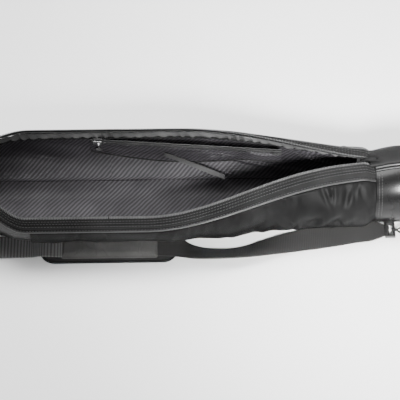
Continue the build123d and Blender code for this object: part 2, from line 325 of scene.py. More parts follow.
def stitches(name, route, pitch, up_at, radius=0.00035, length=0.0028):
    """Thread stitches along a route of points, evenly spaced by pitch."""
    places, travelled, want = [], 0.0, pitch / 2
    for a, b in zip(route, route[1:]):
        step = (b - a).length
        while want <= travelled + step:
            t = (want - travelled) / step
            p = a.lerp(b, t)
            places.append(frame_at(p, b - a, up_at(p)))
            want += pitch
        travelled += step
    return many(name, capsule(length, radius), places)


# ---------------------------------------------------------------- materials
def group(name, inputs, outputs):
    g = bpy.data.node_groups.new(name, "ShaderNodeTree")
    for n, kind, value in inputs:
        s = g.interface.new_socket(n, in_out="INPUT", socket_type=kind)
        if value is not None:
            s.default_value = value
    for n in outputs:
        g.interface.new_socket(n, in_out="OUTPUT", socket_type="NodeSocketFloat")
    return g, g.nodes.new("NodeGroupInput"), g.nodes.new("NodeGroupOutput")


def math_node(tree, operation, a, b=None):
    n = tree.nodes.new("ShaderNodeMath")
    n.operation = operation
    for i, value in enumerate((a, b)):
        if value is None:
            continue
        if isinstance(value, (int, float)):
            n.inputs[i].default_value = value
        else:
            tree.links.new(value, n.inputs[i])
    return n.outputs[0]


def make_weave():
    """Two crossed threads: Height for the bump and Shade for the gaps between threads."""
    g, start, end = group(
        "woven threads",
        [("Vector", "NodeSocketVector", None), ("Threads", "NodeSocketFloat", 1000.0)],
        ["Height", "Shade"],
    )
    split = g.nodes.new("ShaderNodeSeparateXYZ")
    scaled = g.nodes.new("ShaderNodeVectorMath")
    scaled.operation = "SCALE"
    g.links.new(start.outputs["Vector"], scaled.inputs[0])
    g.links.new(start.outputs["Threads"], scaled.inputs["Scale"])
    g.links.new(scaled.outputs[0], split.inputs[0])

    def ridge(axis):
        return math_node(g, "ABSOLUTE", math_node(g, "SINE", math_node(g, "MULTIPLY", axis, math.pi)))

    x, y = split.outputs[0], split.outputs[1]
    across, along = ridge(x), ridge(y)
    cell = math_node(g, "ADD", math_node(g, "FLOOR", x), math_node(g, "FLOOR", y))
    over = math_node(g, "PINGPONG", cell, 1.0)
    warp = math_node(g, "MULTIPLY", across, over)
    weft = math_node(g, "MULTIPLY", along, math_node(g, "SUBTRACT", 1.0, over))
    crossing = math_node(g, "MULTIPLY", across, along)
    g.links.new(math_node(g, "ADD", warp, weft), end.inputs["Height"])
    g.links.new(math_node(g, "ADD", math_node(g, "MULTIPLY", crossing, 0.6), 0.4), end.inputs["Shade"])
    return g


def make_use_and_sheen():
    """Large soft patches, for colour and roughness that vary over a piece: random tone and wear on most
    finishes, and painted sheen on the satin lining.
    """
    g, start, end = group(
        "soft patches of use and painted sheen",
        [("Vector", "NodeSocketVector", None), ("Size", "NodeSocketFloat", 18.0)],
        ["Patches"],
    )
    broad = g.nodes.new("ShaderNodeTexNoise")
    g.links.new(start.outputs["Vector"], broad.inputs["Vector"])
    g.links.new(start.outputs["Size"], broad.inputs["Scale"])
    broad.inputs["Detail"].default_value = 4
    g.links.new(broad.outputs["Fac"], end.inputs["Patches"])
    return g


weave_group = make_weave()
use_and_sheen_group = make_use_and_sheen()


def begin(name):
    m = bpy.data.materials.new(name)
    m.use_nodes = True
    tree = m.node_tree
    return m, tree, tree.nodes["Principled BSDF"]


def colour_ramp(tree, value, stops):
    ramp = tree.nodes.new("ShaderNodeValToRGB")
    tree.links.new(value, ramp.inputs["Fac"])
    elements = ramp.color_ramp.elements
    while len(elements) < len(stops):
        elements.new(0.5)
    for e, (at, c) in zip(elements, stops):
        e.position = at
        e.color = (*c, 1)
    return ramp.outputs["Color"]


def multiply_colour(tree, colour, value, amount):
    n = tree.nodes.new("ShaderNodeMix")
    n.data_type = "RGBA"
    n.blend_type = "MULTIPLY"
    n.inputs["Factor"].default_value = amount
    tree.links.new(colour, n.inputs["A"])
    tree.links.new(value, n.inputs["B"])
    return n.outputs["Result"]


def map_to(tree, value, low, high):
    n = tree.nodes.new("ShaderNodeMapRange")
    tree.links.new(value, n.inputs["Value"])
    n.inputs["To Min"].default_value = low
    n.inputs["To Max"].default_value = high
    return n.outputs["Result"]


def bump(tree, bsdf, height, strength, distance):
    n = tree.nodes.new("ShaderNodeBump")
    n.inputs["Strength"].default_value = strength
    n.inputs["Distance"].default_value = distance
    tree.links.new(height, n.inputs["Height"])
    tree.links.new(n.outputs["Normal"], bsdf.inputs["Normal"])


def add_group(tree, shared, where, **values):
    """Places a shared node group that reads where, with this material's own values."""
    n = tree.nodes.new("ShaderNodeGroup")
    n.node_tree = shared
    tree.links.new(where, n.inputs["Vector"])
    for name, value in values.items():
        n.inputs[name].default_value = value
    return n.outputs


def soft_patches(tree, bsdf, where, size, dark, light, low, high):
    """Base colour and roughness that drift in soft patches over a piece."""
    patches = add_group(tree, use_and_sheen_group, where, Size=size)["Patches"]
    tree.links.new(colour_ramp(tree, patches, [(0.3, dark), (0.7, light)]), bsdf.inputs["Base Color"])
    tree.links.new(map_to(tree, patches, low, high), bsdf.inputs["Roughness"])


def fine_noise(tree, bsdf, where, scale, strength):
    """A faint texture or fine scratches, as a bump."""
    n = tree.nodes.new("ShaderNodeTexNoise")
    n.inputs["Scale"].default_value = scale
    tree.links.new(where, n.inputs["Vector"])
    bump(tree, bsdf, n.outputs["Fac"], strength, 0.0001)


def bands(tree, where, pitch, distortion):
    """Even bands, one to each pitch."""
    wave = tree.nodes.new("ShaderNodeTexWave")
    wave.inputs["Scale"].default_value = math.pi / 10 / pitch
    wave.inputs["Distortion"].default_value = distortion
    tree.links.new(where, wave.inputs["Vector"])
    return wave


def woven(name, dark, light, threads, rough, depth, sheen=0.0, stripes=None, shine=0.25):
    """A woven cloth: threads per metre, and stripes = (pitch, angle, dark, light) if it has them."""
    m, tree, bsdf = begin(name)
    coords = tree.nodes.new("ShaderNodeTexCoord")
    weave = add_group(tree, weave_group, coords.outputs["UV"], Threads=threads)
    # Soft colour patches: random tone on most cloths; on the satin lining they are painted sheen.
    patches = add_group(tree, use_and_sheen_group, coords.outputs["Object"])["Patches"]
    colour = colour_ramp(tree, patches, [(0.3, dark), (0.7, light)])
    height = weave["Height"]
    roughness = map_to(tree, patches, rough - 0.08, rough + 0.08)
    if stripes:
        pitch, angle, low, high = stripes
        turn = tree.nodes.new("ShaderNodeMapping")
        turn.inputs["Rotation"].default_value = (0, 0, angle)
        tree.links.new(coords.outputs["UV"], turn.inputs["Vector"])
        wave = bands(tree, turn.outputs["Vector"], pitch, 1.1)
        wave.inputs["Detail"].default_value = 1.5
        edge = tree.nodes.new("ShaderNodeMapRange")
        edge.interpolation_type = "SMOOTHSTEP"
        tree.links.new(wave.outputs["Fac"], edge.inputs["Value"])
        edge.inputs["From Min"].default_value = 0.35
        edge.inputs["From Max"].default_value = 0.75
        stripe = edge.outputs["Result"]
        colour = multiply_colour(tree, colour_ramp(tree, stripe, [(0.0, low), (1.0, high)]), colour, 0.9)
        height = math_node(tree, "ADD", math_node(tree, "MULTIPLY", stripe, 1.5), height)
        roughness = map_to(tree, stripe, rough + 0.12, rough - 0.08)
    tree.links.new(roughness, bsdf.inputs["Roughness"])
    tree.links.new(multiply_colour(tree, colour, weave["Shade"], 0.55), bsdf.inputs["Base Color"])
    bump(tree, bsdf, height, 0.6, depth)
    bsdf.inputs["Sheen Weight"].default_value = sheen
    bsdf.inputs["Sheen Roughness"].default_value = 0.4
    bsdf.inputs["Specular IOR Level"].default_value = shine
    return m


def leathercloth(name, dark, light, rough, grain=700.0):
    """Coated cloth: a fine pebbled grain, duller where it has been handled."""
    m, tree, bsdf = begin(name)
    where = tree.nodes.new("ShaderNodeTexCoord").outputs["Object"]
    cells = tree.nodes.new("ShaderNodeTexVoronoi")
    cells.feature = "SMOOTH_F1"
    cells.inputs["Scale"].default_value = grain
    tree.links.new(where, cells.inputs["Vector"])
    soft_patches(tree, bsdf, where, 18, dark, light, rough - 0.07, rough + 0.1)
    bump(tree, bsdf, cells.outputs["Distance"], 0.15, 0.0002)
    bsdf.inputs["Specular IOR Level"].default_value = 0.22
    return m


def ribbed(name, dark, light, pitch, rough, depth):
    """Webbing: ribbing across the strap by its UV, with a fine thread along each rib; the colour is painted
    shade, dark in each groove and light on each crest.
    """
    m, tree, bsdf = begin(name)
    coords = tree.nodes.new("ShaderNodeTexCoord")
    wave = bands(tree, coords.outputs["UV"], pitch, 0.3)
    wave.bands_direction = "X"
    rib_relief_and_painted_shade = wave.outputs["Fac"]
    weave = add_group(tree, weave_group, coords.outputs["UV"], Threads=1300)
    patches = add_group(tree, use_and_sheen_group, coords.outputs["Object"])["Patches"]
    # Painted shade: the colour follows the ribbing, dark in each groove where shade falls and light on each
    # crest.
    colour = colour_ramp(tree, rib_relief_and_painted_shade, [(0.1, dark), (0.8, light)])
    tree.links.new(multiply_colour(tree, colour, weave["Shade"], 0.3), bsdf.inputs["Base Color"])
    tree.links.new(map_to(tree, patches, rough - 0.08, rough + 0.08), bsdf.inputs["Roughness"])
    height = math_node(tree, "ADD", rib_relief_and_painted_shade, math_node(tree, "MULTIPLY", weave["Height"], 0.3))
    bump(tree, bsdf, height, 0.7, depth)
    return m


def plated(name, dark, light, rough):
    """Plated metal with fine scratches and duller patches of wear."""
    m, tree, bsdf = begin(name)
    where = tree.nodes.new("ShaderNodeTexCoord").outputs["Object"]
    soft_patches(tree, bsdf, where, 160, dark, light, rough - 0.08, rough + 0.14)
    fine_noise(tree, bsdf, where, 2200, 0.12)
    bsdf.inputs["Metallic"].default_value = 1.0
    return m


def moulded(name, dark, light, rough, coat=0.0):
    """Moulded or drawn plastic with a faint texture."""
    m, tree, bsdf = begin(name)
    where = tree.nodes.new("ShaderNodeTexCoord").outputs["Object"]
    soft_patches(tree, bsdf, where, 60, dark, light, rough - 0.05, rough + 0.08)
    fine_noise(tree, bsdf, where, 1500, 0.25)
    bsdf.inputs["Coat Weight"].default_value = coat
    return m


def grey(v, warm=0.0):
    return (v * (1 + warm), v, v * (1 - warm))


nylon = woven("black nylon cloth", grey(0.004), grey(0.012), 1500, 0.40, 0.00008, shine=0.05)
canvas = woven("coarse canvas", grey(0.010), grey(0.019), 700, 0.75, 0.0005, shine=0.08)
# The lining's soft colour patches, from 0.36 up to full brightness, are painted sheen; the stripes are its
# own pattern.
satin = woven(
    "striped satin lining", (0.36, 0.35, 0.37), (1.0, 0.98, 1.0), 1600, 0.40, 0.00015, sheen=0.05,
    stripes=(0.0052, math.radians(-38), (0.022, 0.021, 0.023), (0.070, 0.066, 0.073)), shine=0.30,
)
# Painted light: a paler copy of the lining satin, without stripes, for the puckered strip that lies in shade
# under the rim.
satin_painted_paler = woven("satin lining painted paler", grey(0.055), grey(0.170), 1600, 0.52, 0.0002, shine=0.2)
coated = leathercloth("coated leathercloth", grey(0.003), grey(0.005), 0.27)
smooth_cloth = woven("smooth dense cloth", grey(0.013), grey(0.020), 2200, 0.62, 0.0001, shine=0.12)
# Both webbings: the dark value is painted shade in the grooves, and the light value is the crests.
webbing = ribbed("ribbed webbing", grey(0.080), grey(0.190, 0.01), 0.0030, 0.65, 0.0005)
fine_webbing = ribbed("fine flat webbing", grey(0.020, 0.02), grey(0.030, 0.02), 0.0016, 0.68, 0.0002)
sleeve_cloth = woven("brushed sleeve cloth", grey(0.085, 0.02), grey(0.140, 0.02), 900, 0.70, 0.0003)
pad_cloth = woven("pad backing", grey(0.024), grey(0.040), 500, 0.75, 0.0005)
glossy_cord = moulded("glossy piping", grey(0.012), grey(0.020), 0.36, coat=0.1)
coil_nylon = moulded("zipper coil", grey(0.055), grey(0.090), 0.50)
tape_cloth = woven("zipper tape", grey(0.036), grey(0.060), 1200, 0.72, 0.0002)
dark_tape = woven("edge binding tape", grey(0.012), grey(0.022), 1200, 0.70, 0.0002, shine=0.15)
thread = moulded("sewing thread", grey(0.020), grey(0.034), 0.55)
dark_thread = moulded("dark sewing thread", grey(0.014), grey(0.026), 0.45)
dark_metal = plated("dark nickel plate", grey(0.020), grey(0.040), 0.45)
pale_metal = plated("pale nickel plate", grey(0.30), grey(0.46), 0.38)
black_plastic = moulded("moulded black plastic", grey(0.012), grey(0.022), 0.42)
light_tape = woven("flat inner tape", grey(0.045), grey(0.065), 1300, 0.55, 0.0002)


def dress(obj, material, body, slot, replaced=(), ramp=None):
    """Gives a piece its finish, parents it to its body or, for a blended piece, bakes its transform, and
    hides the nodes it stands for. slot is not used.
    """
    obj.data.materials.clear()
    obj.data.materials.append(material)
    if ramp:
        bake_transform(obj)
    else:
        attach(obj, body)
    if replaced:
        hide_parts(*replaced)
    return obj


# ---------------------------------------------------------------- the two sides
def make_folds(seed, x_from, x_to, spacing):
    """Places for sewn-in gathers under the band and for slack folds along the bottom."""
    dice = random.Random(seed)
    folds = []
    x = x_from
    while x < x_to:
        if dice.random() < 0.5:
            middle, reach_s = seam_s - dice.uniform(0.06, 0.16), dice.uniform(0.10, 0.20)
            width, depth = dice.uniform(0.0022, 0.0052), dice.uniform(0.0012, 0.0030)
        else:
            middle, reach_s = dice.uniform(0.18, 0.34), dice.uniform(0.07, 0.12)
            width, depth = dice.uniform(0.0045, 0.0085), dice.uniform(0.0025, 0.0050)
        folds.append((x, middle, dice.uniform(-0.05, 0.05), reach_s, width, depth))
        x += spacing * dice.uniform(0.5, 1.5)
    return folds


folds_of = {
    "front": make_folds(11, -0.02, 0.255, 0.0080) + make_folds(12, -0.200, -0.02, 0.022),
    "rear": make_folds(13, -0.20, 0.225, 0.015),
}


def fold_height(side, x, s):
    """Sharp little folds: each a valley with a ridge beside it."""
    total = 0.0
    for at, middle, slant, reach_s, width, depth in folds_of[side]:
        d = (x - at - slant * (s - middle)) / width
        if abs(d) > 3.5:
            continue
        along_fold = math.exp(-(((s - middle) / reach_s) ** 2))
        total += depth * along_fold * (0.7 * math.exp(-((d - 1.4) ** 2)) - math.exp(-d * d))
    return total


def slack(side, x, s):
    """How far the outer cloth stands off its smooth arc: padding, gathers and soft folds."""
    seed = 1.0 if side == "front" else 4.0
    edge = math.sin(math.pi * min(1.0, s / seam_s))
    sag = 0.0050 * smooth(-0.02, 0.10, x) * smooth(0.262, 0.20, x) * math.exp(-(((s - 0.24) / 0.20) ** 2))
    soft = 0.0060 * noise_at(x * 22, s * 2.6, seed + 1) * edge * mix(1.0, 0.5, smooth(0.02, -0.12, x))
    ends = smooth(0, 0.06, s) * smooth(seam_s, seam_s - 0.03, s) * smooth(seam_x, seam_x - 0.008, x)
    calm = mix(0.45, 1.0, smooth(0.09, 0.17, x))
    return 0.0022 * edge + max(sag + soft + calm * fold_height(side, x, s) + 0.0024, -0.0020) * ends


def inner_slack(side, x, s):
    """How far the lining hangs off the foam: soft waves and a few long folds."""
    seed = 9.0 if side == "front" else 12.0
    edge = math.sin(math.pi * min(1.0, s / seam_s))
    soft = 0.0035 * noise_at(x * 12 + s * 3, s * 3, seed) * edge
    fold = 0.0060 * crease(x * 9 + s * 3.4, s * 2.4, seed + 1, 0.10) * smooth(-0.02, 0.08, x) * edge
    return soft + fold


def lining_point(side, x, v):
    """The lining: it rolls round the fold inside the base's wall, then runs up the side."""
    fold_part = 0.13
    if v > fold_part:
        s = (v - fold_part) / (1 - fold_part) * strip_low
        return side_point(side, x, s, -lining_off - abs(inner_slack(side, x, s)))
    if round_end(x)[0]:
        return side_point(side, x, 0.0, -lining_off)
    open_angle = front_open if side == "front" else rear_open
    swing = (open_angle * share(side, x) + math.radians(8)) * (1 - v / fold_part)
    a = fold_angle - math.pi - swing
    return opened(side, x, -fold_y + lining_off * math.cos(a), fold_z + lining_off * math.sin(a))


def away_from_mouth(p):
    return Vector((p.x, 0.0, 0.055))


def into_wall(p):
    """A point outside the lining, so that its faces look into the bag."""
    return Vector((p.x, math.copysign(0.4, p.y), -0.05))


def outer_cloth(side, half, label, x0, x1, replaced, ramp):
    """A padded stretch of a side's outer cloth. The coated stretch is stiffer, so it lies calmer."""
    calm = 0.35 if label == "coated" else 1.0
    length = x1 - x0

    def place(u, v):
        x, s = mix(x0, x1, u), v * seam_s
        return side_point(side, x, s, calm * slack(side, x, s))

    counts = (max(8, int(length / 0.0022)), panel_rows)
    size = (length, seam_s * side_length)
    panel = cloth(f"{side}_{label}_{half}", place, counts, size, away_from_mouth, cloth_wall)
    finish, slot = (coated, "coated") if label == "coated" else (nylon, "nylon")
    dress(panel, finish, f"{side}_side", slot, replaced, ramp)


# Each row of stitches: how far up the band, how far off the side, and its thread
stitch_rows = {
    "low": (0.12, 0.0021, thread),
    "middle": (0.46, 0.0024, thread),
    "high": (0.62, 0.0010, dark_thread),
    "edge": (0.80, 0.0010, dark_thread),
}
tooth_pitch = 0.0021


def rim_of_half(side, half, x0, x1, ramp):
    """Along one half of a side's rim: the band, its piping, tape, zipper teeth and stitches."""
    body = f"{side}_side"
    length = x1 - x0
    count = int(length / 0.004)

    def stands_for(node):
        return [f"{side}_{node}"] if half == "right" else []

    def route(s, out):
        return [side_point(side, mix(x0, x1, i / count), s, out) for i in range(count + 1)]

    def band_place(u, v):
        x = mix(x0, x1, u)
        ripple = 0.0009 * noise_at(x * 26, v, 3.0)
        step = 0.0013 * (1 - smooth(0.50, 0.54, v))
        groove = 0.0010 * math.exp(-(((v - 0.20) / 0.05) ** 2))
        return side_point(side, x, mix(seam_s, rim_s, v), 0.0006 + ripple + step - groove)

    def tape_place(u, v):
        return side_point(side, mix(x0, x1, u), mix(0.905, 1.004, v), -0.0022)

    band = cloth(f"{side}_band_{half}", band_place, (int(length / 0.003), 26), (length, band_width),
                 away_from_mouth, 0.0013)
    dress(band, canvas, body, "canvas", stands_for("zipper_band"), ramp)
    bead = cord_bead(f"{side}_piping_{half}", route(seam_s, 0.0022), 0.0013)
    dress(bead, glossy_cord, body, "piping", stands_for("piping"), ramp)
    tape = cloth(f"{side}_tape_{half}", tape_place, (count, 5), (length, 0.010), away_from_mouth, 0.0008)
    dress(tape, tape_cloth, body, "zipper", stands_for("zipper_tape"), ramp)
    teeth = []
    for i in range(int(length / tooth_pitch)):
        x = x0 + (i + 0.5) * tooth_pitch
        p = side_point(side, x, 1.0, 0.0002)
        q = side_point(side, x, 1.012, 0.0002)
        teeth.append(frame_at(p, q - p, side_point(side, x, 1.0, 0.01) - p))
    coil = many(f"{side}_coil_{half}", capsule(0.0036, 0.00092, 1.1), teeth)
    dress(coil, coil_nylon, body, "zipper", ramp=ramp)
    outwards = Vector((0, -1 if side == "front" else 1, 0.6))
    for row, (share_up, lift, yarn) in stitch_rows.items():
        line = route(mix(seam_s, rim_s, share_up), lift)
        seam = stitches(f"{side}_stitches_{row}_{half}", line, 0.0042, lambda p: outwards)
        dress(seam, yarn, body, "canvas", ramp=ramp)


def inside_of_half(side, half, x0, x1, ramp):
    """Inside one half of a side: striped satin, a puckered strip above it and a cord between."""
    body = f"{side}_side"
    length = x1 - x0
    count = int(length / 0.004)

    def pucker(u, v):
        x = mix(x0, x1, u)
        ruck = math.sin(x * 420 + v * 4.5 + 5 * noise_at(x * 22, v, 5.0))
        ruck *= 0.0016 + 0.0038 * abs(noise_at(x * 30, 0.3, 6.0))
        depth = 0.0040 + 0.0016 * math.sin(math.pi * v) + ruck * math.sin(math.pi * v)
        return side_point(side, x, mix(strip_low, strip_high, v), -depth - 0.0030 * (1 - v))

    lining = cloth(
        f"{side}_lining_{half}", lambda u, v: lining_point(side, mix(x0, x1, u), v),
        (int(length / 0.0028), panel_rows), (length, -0.92 * side_length), into_wall, 0.0006,
    )
    dress(lining, satin, body, "lining", [f"{side}_lining"] if half == "right" else [], ramp)
    strip = cloth(
        f"{side}_puckered_strip_{half}", pucker, (int(length / 0.0016), 8), (length, 0.014), into_wall, 0.0006
    )
    # The puckered strip gets the paler satin copy: painted light.
    dress(strip, satin_painted_paler, body, "lining", ramp=ramp)
    stations = [mix(x0, x1, i / count) for i in range(count + 1)]
    route = [side_point(side, x, strip_low, -cloth_wall - 0.0020) for x in stations]
    ridge = cord_bead(f"{side}_binding_{half}", route, 0.0016)
    dress(ridge, dark_tape, body, "zipper", ramp=ramp)


def right_half(side):
    replaced = [f"{side}_{node}" for node in ("panel", "foam", "fold_1", "fold_2", "fold_3")]
    outer_cloth(side, "right", "cloth", middle_x, seam_x, replaced, right_ramp[side])
    rim_of_half(side, "right", middle_x, seam_x, right_ramp[side])
    inside_of_half(side, "right", middle_x, seam_x, right_ramp[side])


def left_half(side):
    outer_cloth(side, "left", "coated", left_cloth_x, coated_x, [], left_ramp)
    outer_cloth(side, "left", "cloth", coated_x, middle_x, [f"{side}_fold_4", f"{side}_fold_5"], left_ramp)
    rim_of_half(side, "left", left_cloth_x, middle_x, left_ramp)
    inside_of_half(side, "left", left_cloth_x, middle_x, left_ramp)


for side in ("front", "rear"):
    right_half(side)
    left_half(side)


# ---------------------------------------------------------------- base
def base_slack(x, t):
    side = abs(2 * t - 1)
    return 0.0012 * noise_at(x * 18, t * 6, 15.0) * smooth(0.3, 0.7, side) * smooth(1.0, 0.9, side)


def above_base(p):
    return Vector((p.x, p.y * 0.3, 0.09))


def base_sheet(name, a, b, lift, finish, slot, replaced):
    """A padded stretch of the base from x = a to b, lift(x, t) beyond its plain shape."""

    def place(u, v):
        x = mix(a, b, u)
        return base_point(x, v, lift(x, v))

    counts = (max(6, int((b - a) / 0.004)), panel_rows)
    piece = cloth(name, place, counts, (b - a, 0.114), above_base, base_wall)
    dress(piece, finish, root, slot, replaced)


base_sheet("base_cloth", base_coated_x, seam_x, base_slack, nylon, "nylon",
           ["base_panel", "base_foam", "right_gusset"])
base_sheet("base_coated_left", left_cloth_x, base_coated_x, lambda x, t: 0.0002, coated, "coated",
           ["left_lower_section"])


def floor_lining(u, v):
    x = mix(-flat_x, seam_x, u)
    ripple = 0.0012 * abs(noise_at(x * 14, v * 4, 21.0))
    return base_point(x, v, -base_wall - 0.0006 - ripple)


base_satin = cloth("base_lining_satin", floor_lining, (190, 34), (0.597, -0.114),
                   lambda p: Vector((p.x, p.y * 3, -0.3)), 0.0006)
dress(base_satin, satin, root, "lining", ["base_lining"])


# ---------------------------------------------------------------- round end sections
def revolve(name, outline, mirror, replaced, wall):
    """A coated skin round the X axis through outline's points (x, radius, height of the middle)."""
    last = len(outline) - 1

    def place(u, v):
        a = 2 * math.pi * u
        i = min(int(v * last), last - 1)
        x, r, centre = (mix(p, q, v * last - i) for p, q in zip(outline[i], outline[i + 1]))
        return Vector((-x if mirror else x, r * math.cos(a), max(centre + r * math.sin(a), floor_gap)))

    length = abs(outline[-1][0] - outline[0][0]) + abs(outline[-1][1] - outline[0][1])
    piece = cloth(name, place, (96, last * 2), (0.32, length), lambda p: Vector((p.x * 0.9, 0, end_r)), 0)
    form = bmesh.new()
    form.from_mesh(piece.data)
    bmesh.ops.remove_doubles(form, verts=form.verts, dist=1e-5)
    form.to_mesh(piece.data)
    form.free()
    if wall:
        solid = piece.modifiers.new("wall", "SOLIDIFY")
        solid.thickness, solid.offset = wall, -1
        apply_modifiers(piece)
    return dress(piece, coated, root, "coated", replaced)


def swell(x):
    """Radius of the right end section at x."""
    return mix(seam_r, end_r, smooth(seam_x - 0.02, swell_x + 0.004, x) ** 0.8) if x < swell_x else end_r


section_end = flat_x - 0.0012
section_wall = 0.0046
stations = [mix(seam_x, section_end, i / 24) for i in range(25)]
section = [(x, swell(x), swell(x)) for x in stations]
section_skin = revolve("end_section_skin_right", section, False, ["right_end_section"], section_wall)
collar = [(0.3305 + 0.0005 * i, end_r - 0.0003, end_r) for i in range(6)]
revolve("end_section_skin_left", collar, True, ["left_end_section"], section_wall)


def cap_outline():
    """From the welt round the rim and over the slightly domed end to its middle."""
    round_r, dome = 0.014, 0.0022
    points = [(flat_x + 0.0008, end_r - 0.0004, end_r)]
    for i in range(11):
        a = math.pi / 2 * i / 10
        x = end_x - round_r + round_r * math.sin(a)
        points.append((x, end_r - round_r + round_r * math.cos(a), end_r))
    for i in range(1, 11):
        t = i / 10
        points.append((end_x + dome * math.sin(math.pi / 2 * t), (end_r - round_r) * (1 - t), end_r))
    return points


for mirror, end in ((False, "right"), (True, "left")):
    cap = revolve(f"end_cap_{end}", cap_outline(), mirror, [f"{end}_end_panel"], 0.0)


def welt_route(sign):
    """Once round the end, flattened where it meets the floor."""
    r = end_r + 0.0006
    angles = [mix(math.radians(-86), math.radians(266), i / 120) for i in range(121)]
    return [Vector((sign * flat_x, r * math.cos(a), max(end_r + r * math.sin(a), 0.0018))) for a in angles]


for sign, end in ((1, "right"), (-1, "left")):
    welt = cord_bead(f"end_welt_{end}", welt_route(sign), 0.0016)
    dress(welt, glossy_cord, root, "piping", ["end_piping"] if end == "right" else [])


def open_ring(x, r, centre, start, sweep, lowest):
    """Round the end section at x by degrees, without the part under the height lowest."""
    angles = [math.radians(start + sweep * i / 140) for i in range(141)]
    points = [Vector((x, r * math.cos(a), centre + r * math.sin(a))) for a in angles]
    return [p for p in points if p.z > lowest]


for x in (seam_x + 0.0045, seam_x + 0.0085):
    route = open_ring(x, swell(x) + 0.0004, swell(x), 98, 344, 0.001)
    row = stitches(f"end_stitches_{round(x * 1e4)}", route, 0.0040,
                   lambda p: Vector((0, p.y, p.z - seam_r)), radius=0.0004, length=0.0027)
    dress(row, thread, root, "coated")
lip = cord_bead("end_seam_lip", open_ring(seam_x + 0.0004, seam_r + 0.0006, seam_r, 96, 348, 0.0012), 0.0011)
dress(lip, coated, root, "coated")

# Smooth panel over the top of the right end
top_low, top_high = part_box("end_top_panel")


def top_panel(u, v):
    y = mix(top_low.y, top_high.y, v)
    x = mix(seam_x - mix(0.007, 0.0145, v), top_high.x, u)
    middle = swell(max(x, seam_x))
    r = middle + 0.0028
    edge = min(u / 0.04, 1.0, (1 - u) / 0.04, v / 0.05, (1 - v) / 0.05)
    a = math.acos(max(-1, min(1, y / r)))
    return Vector((x, r * math.cos(a), middle + r * math.sin(a) - 0.0012 * (1 - smooth(0, 1, edge))))


cover = cloth("end_top_cover", top_panel, (50, 30), (0.066, 0.05), lambda p: Vector((p.x, 0, 0.04)), 0.0024)
dress(cover, smooth_cloth, root, "smooth_cloth", ["end_top_panel"])
for label, y, r_bead in (("near", top_low.y - 0.0026, 0.0016), ("seam", top_low.y - 0.0068, 0.0010),
                         ("far", top_high.y + 0.0032, 0.0016)):
    points = []
    for i in range(31):
        x = mix(seam_x + 0.0008, flat_x - 0.002, i / 30)
        r = swell(x) + r_bead * 0.8
        points.append(Vector((x, y, swell(x) + math.sqrt(r * r - y * y))))
    bead = cord_bead(f"end_top_piping_{label}", points, r_bead)
    dress(bead, glossy_cord, root, "piping", ["end_top_piping"] if label == "near" else [])

# ---------------------------------------------------------------- inner pocket on the rear side
pocket_low, pocket_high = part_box("pocket_panel")
pocket_top = 0.022
pocket_lean = 0.025
pocket_long = 0.266


def rear_full(down, off):
    """A point (y, z) on the fully open rear side, down from its rim and off its inner face."""
    a = rim_angle + down / side_r
    r = side_r - 0.0067 - off
    dy, dz = arc_y + r * math.cos(a) + fold_y, arc_z + r * math.sin(a) - fold_z
    return (
        fold_y - (dy * math.cos(rear_open) - dz * math.sin(rear_open)),
        fold_z + dy * math.sin(rear_open) + dz * math.cos(rear_open),
    )


def pocket_point(x, down, off):
    t = (x - pocket_low.x) / (pocket_high.x - pocket_low.x)
    y, z = rear_full(down, off)
    return Vector((x, y - pocket_lean * t, z))


def behind_pocket(p):
    return Vector((p.x, 0.3, -0.1))


def pocket_sag(u, v):
    """The pocket's slack: soft waves, folds to the right and a mouth that gapes."""
    x = mix(pocket_low.x, pocket_high.x, u)
    folds = crease(x * 12 - v * 1.5, v * 2, 32.0, 0.12) * smooth(0.35, 0.9, u)
    wave = 0.0030 * noise_at(x * 20, v * 2, 31.0) + 0.0050 * folds
    gape = 0.0030 * math.sin(math.pi * u) * (1 - v)
    return (abs(wave) + gape) * math.sin(math.pi * min(1, v + 0.02)) * min(1, 8 * u, 8 * (1 - u))


def pocket_place(u, v, off):
    """A point of the pocket's cloth, from its zipper at v = 0 to its rounded lower seam at v = 1."""
    deep = 0.024 + 0.012 * math.sin(math.pi * min(1, u * 1.25))
    return pocket_point(mix(pocket_low.x, pocket_high.x, u), pocket_top + 0.009 + v * deep, off)


pocket_cloth = cloth("pocket_cloth", lambda u, v: pocket_place(u, v, 0.0026 + pocket_sag(u, v)),
                     (130, 26), (pocket_long, 0.037), behind_pocket, 0.0007)
dress(pocket_cloth, satin, "rear_side", "lining", ["pocket_panel"])
hem = cord_bead("pocket_seam_cord", [pocket_place(i / 60, 1.0, 0.0030) for i in range(61)], 0.0011)
dress(hem, dark_tape, "rear_side", "zipper")


def pocket_tape(label, d0, d1, replaced):
    """One tape of the pocket's zipper, d0 to d1 down from its middle, with two rows of stitches."""

    def place(u, v):
        x = mix(pocket_low.x, pocket_high.x, u)
        return pocket_point(x, pocket_top + mix(d0, d1, v), 0.0052 + 0.0002 * math.sin(u * 60))

    strip = cloth(f"pocket_tape_{label}", place, (100, 4), (pocket_long, 0.0066), behind_pocket, 0.0009)
    dress(strip, tape_cloth, "rear_side", "zipper", replaced)
    for row in (0.25, 0.85):
        stations = [mix(pocket_low.x + 0.003, pocket_high.x - 0.003, i / 80) for i in range(81)]
        route = [pocket_point(x, pocket_top + mix(d0, d1, row), 0.0068) for x in stations]
        line = stitches(f"pocket_stitches_{label}_{round(row * 100)}", route, 0.0036,
                        lambda p: Vector((0, -0.9, -0.3)), radius=0.0003, length=0.0024)
        dress(line, thread, "rear_side", "zipper")


